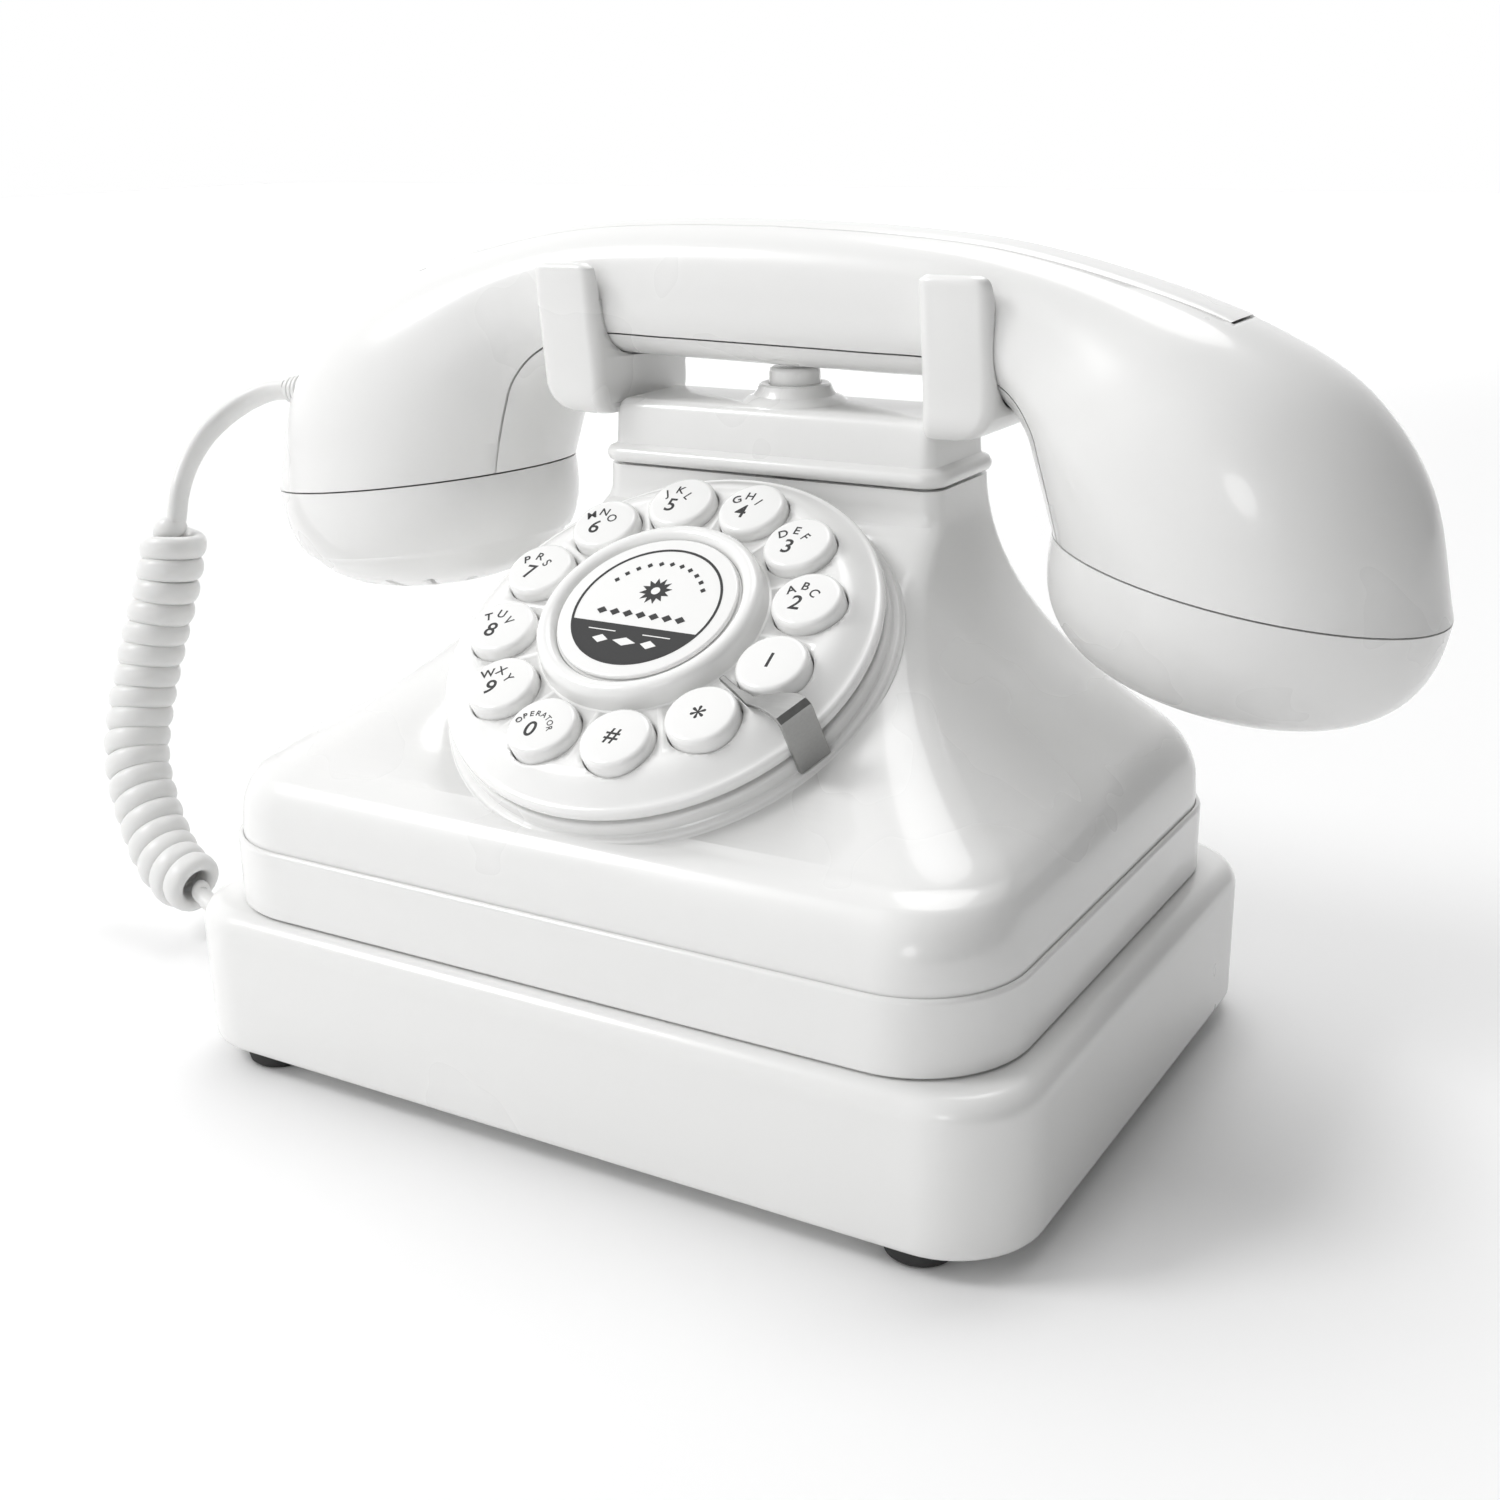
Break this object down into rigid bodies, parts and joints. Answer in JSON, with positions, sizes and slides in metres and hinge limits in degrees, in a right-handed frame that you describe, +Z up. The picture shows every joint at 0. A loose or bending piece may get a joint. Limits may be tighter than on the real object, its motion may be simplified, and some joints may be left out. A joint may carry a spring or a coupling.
{
  "type": "retro desk telephone",
  "caption": "Retro desk telephone: stepped white base with a sloping push-button dial, tall pronged cradle and a lift-off handset on a curly cord.",
  "frame": {"origin": "on the surface that the phone stands on, under the middle of its box without the cord", "axes": "+Z up, -Y towards the user and the dial, +X towards the earpiece end of the handset"},
  "size_m": [0.2599, 0.1166, 0.1422],
  "materials": {
    "white_abs": "smooth white moulding, satin gloss",
    "key_abs": "smooth white moulding, gloss",
    "badge_print": "white disc with a printed face under a clear coat",
    "black_rubber": "matt",
    "silicone": "matt",
    "black_abs": "matt",
    "grey_abs": "matt",
    "clear_plug": "clear moulding",
    "board_laminate": "solder mask",
    "steel": "bright zinc plate",
    "brushed_steel": "fine satin grain",
    "white_pvc": "smooth soft vinyl"
  },
  "bodies": {
    "base": {"base_tray": "white_abs", "upper_housing": "white_abs", "cradle": "white_abs", "foot_front_left": "black_rubber", "foot_front_right": "black_rubber", "foot_back_left": "black_rubber", "foot_back_right": "black_rubber", "main_board": "board_laminate", "key_board": "board_laminate", "ring_speaker": "black_abs", "hook_switch": "black_abs", "line_jack": "grey_abs", "cord_jack": "grey_abs", "hook_bracket": "grey_abs", "cord_plug": "clear_plug", "dial_plate": "key_abs", "dial_hub": "key_abs", "dial_badge": "badge_print", "key_mat": "silicone", "dial_screw": "steel", "finger_stop": "brushed_steel", "hook_spring": "steel", "board_screw_1": "steel", "board_screw_2": "steel", "base_screw_1": "steel", "base_screw_2": "steel", "base_screw_3": "steel", "base_screw_4": "steel", "cord_tail": "white_pvc", "cord_coil": "white_pvc", "cord_lower_tail": "white_pvc"},
    "handset": {"handset_shell": "white_abs", "handset_lower_shell": "white_abs", "handset_spine": "white_abs", "mouthpiece_cap": "white_abs", "earpiece_cap": "white_abs", "receiver_capsule": "black_abs", "microphone_capsule": "black_abs", "handset_weight": "steel", "cord_relief": "white_pvc"},
    "hook": {"hook_plunger": "white_abs"},
    "key_star": {"key_star": "key_abs"},
    "key_1": {"key_1": "key_abs"},
    "key_2": {"key_2": "key_abs"},
    "key_3": {"key_3": "key_abs"},
    "key_4": {"key_4": "key_abs"},
    "key_5": {"key_5": "key_abs"},
    "key_6": {"key_6": "key_abs"},
    "key_7": {"key_7": "key_abs"},
    "key_8": {"key_8": "key_abs"},
    "key_9": {"key_9": "key_abs"},
    "key_0": {"key_0": "key_abs"},
    "key_hash": {"key_hash": "key_abs"}
  },
  "joints": [
    {"name": "handset_lift", "type": "slide", "parent": "base", "child": "handset", "axis": [0, 0, 1], "range_m": [0, 0.08]},
    {"name": "hook_rise", "type": "slide", "parent": "base", "child": "hook", "axis": [0, 0, 1], "range_m": [0, 0.004], "deforming": ["hook_spring"]},
    {"name": "key_press_star", "type": "slide", "parent": "base", "child": "key_star", "axis": [0, 0.5329, -0.8462], "range_m": [0, 0.0015], "stiffness_N_per_m": 300, "springref_m": -0.0008},
    {"name": "key_press_1", "type": "slide", "parent": "base", "child": "key_1", "axis": [0, 0.5329, -0.8462], "range_m": [0, 0.0015], "stiffness_N_per_m": 300, "springref_m": -0.0008},
    {"name": "key_press_2", "type": "slide", "parent": "base", "child": "key_2", "axis": [0, 0.5329, -0.8462], "range_m": [0, 0.0015], "stiffness_N_per_m": 300, "springref_m": -0.0008},
    {"name": "key_press_3", "type": "slide", "parent": "base", "child": "key_3", "axis": [0, 0.5329, -0.8462], "range_m": [0, 0.0015], "stiffness_N_per_m": 300, "springref_m": -0.0008},
    {"name": "key_press_4", "type": "slide", "parent": "base", "child": "key_4", "axis": [0, 0.5329, -0.8462], "range_m": [0, 0.0015], "stiffness_N_per_m": 300, "springref_m": -0.0008},
    {"name": "key_press_5", "type": "slide", "parent": "base", "child": "key_5", "axis": [0, 0.5329, -0.8462], "range_m": [0, 0.0015], "stiffness_N_per_m": 300, "springref_m": -0.0008},
    {"name": "key_press_6", "type": "slide", "parent": "base", "child": "key_6", "axis": [0, 0.5329, -0.8462], "range_m": [0, 0.0015], "stiffness_N_per_m": 300, "springref_m": -0.0008},
    {"name": "key_press_7", "type": "slide", "parent": "base", "child": "key_7", "axis": [0, 0.5329, -0.8462], "range_m": [0, 0.0015], "stiffness_N_per_m": 300, "springref_m": -0.0008},
    {"name": "key_press_8", "type": "slide", "parent": "base", "child": "key_8", "axis": [0, 0.5329, -0.8462], "range_m": [0, 0.0015], "stiffness_N_per_m": 300, "springref_m": -0.0008},
    {"name": "key_press_9", "type": "slide", "parent": "base", "child": "key_9", "axis": [0, 0.5329, -0.8462], "range_m": [0, 0.0015], "stiffness_N_per_m": 300, "springref_m": -0.0008},
    {"name": "key_press_0", "type": "slide", "parent": "base", "child": "key_0", "axis": [0, 0.5329, -0.8462], "range_m": [0, 0.0015], "stiffness_N_per_m": 300, "springref_m": -0.0008},
    {"name": "key_press_hash", "type": "slide", "parent": "base", "child": "key_hash", "axis": [0, 0.5329, -0.8462], "range_m": [0, 0.0015], "stiffness_N_per_m": 300, "springref_m": -0.0008}
  ],
  "couplings": [
    {"joint": "hook_rise", "follows": "handset_lift", "ratio": 0.05}
  ]
}
